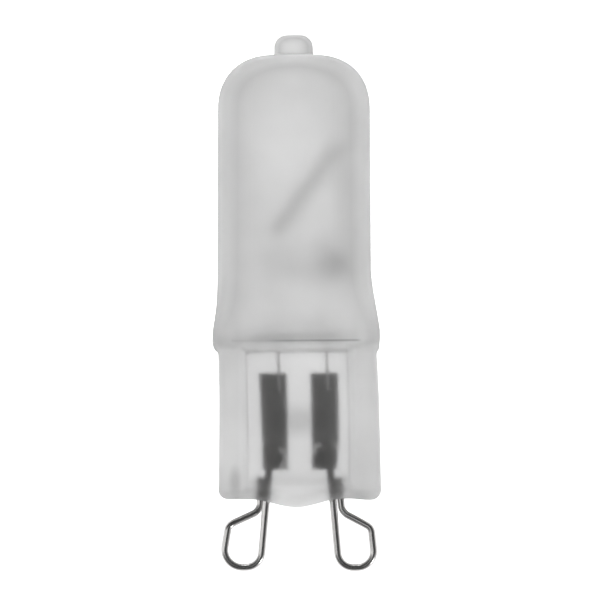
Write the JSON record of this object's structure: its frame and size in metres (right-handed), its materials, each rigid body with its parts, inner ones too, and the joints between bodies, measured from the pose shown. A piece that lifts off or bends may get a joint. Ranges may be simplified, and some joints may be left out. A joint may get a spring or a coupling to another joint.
{
  "type": "halogen capsule bulb",
  "caption": "Frosted capsule bulb: domed quartz tube with a sealed tip and a flat pinch, holding a coiled filament, sealing foils and bent-wire contact loops.",
  "frame": {"origin": "on the lamp's axis at the end of the flat pinch, where the two contact loops leave the glass", "axes": "+Y along the lamp's axis to the sealed tip, +X across the two contact loops, +Z out of the pinch's broad face; the bulb lies on its round tube"},
  "size_m": [0.0136, 0.0432, 0.0124],
  "materials": {
    "frosted_quartz": "acid-etched outside, satin white",
    "clear_quartz": "clear, fire-polished",
    "tungsten": "drawn wire, dull grey",
    "molybdenum_foil": "rolled foil, dark grey",
    "bright_wire": "bright drawn wire"
  },
  "bodies": {
    "root": {"quartz_envelope": "frosted_quartz", "quartz_bridge": "clear_quartz", "filament": "tungsten", "molybdenum_foil_left": "molybdenum_foil", "molybdenum_foil_right": "molybdenum_foil", "contact_loop_left": "bright_wire", "contact_loop_right": "bright_wire", "inner_lead_left": "tungsten", "inner_lead_right": "tungsten"}
  },
  "joints": []
}
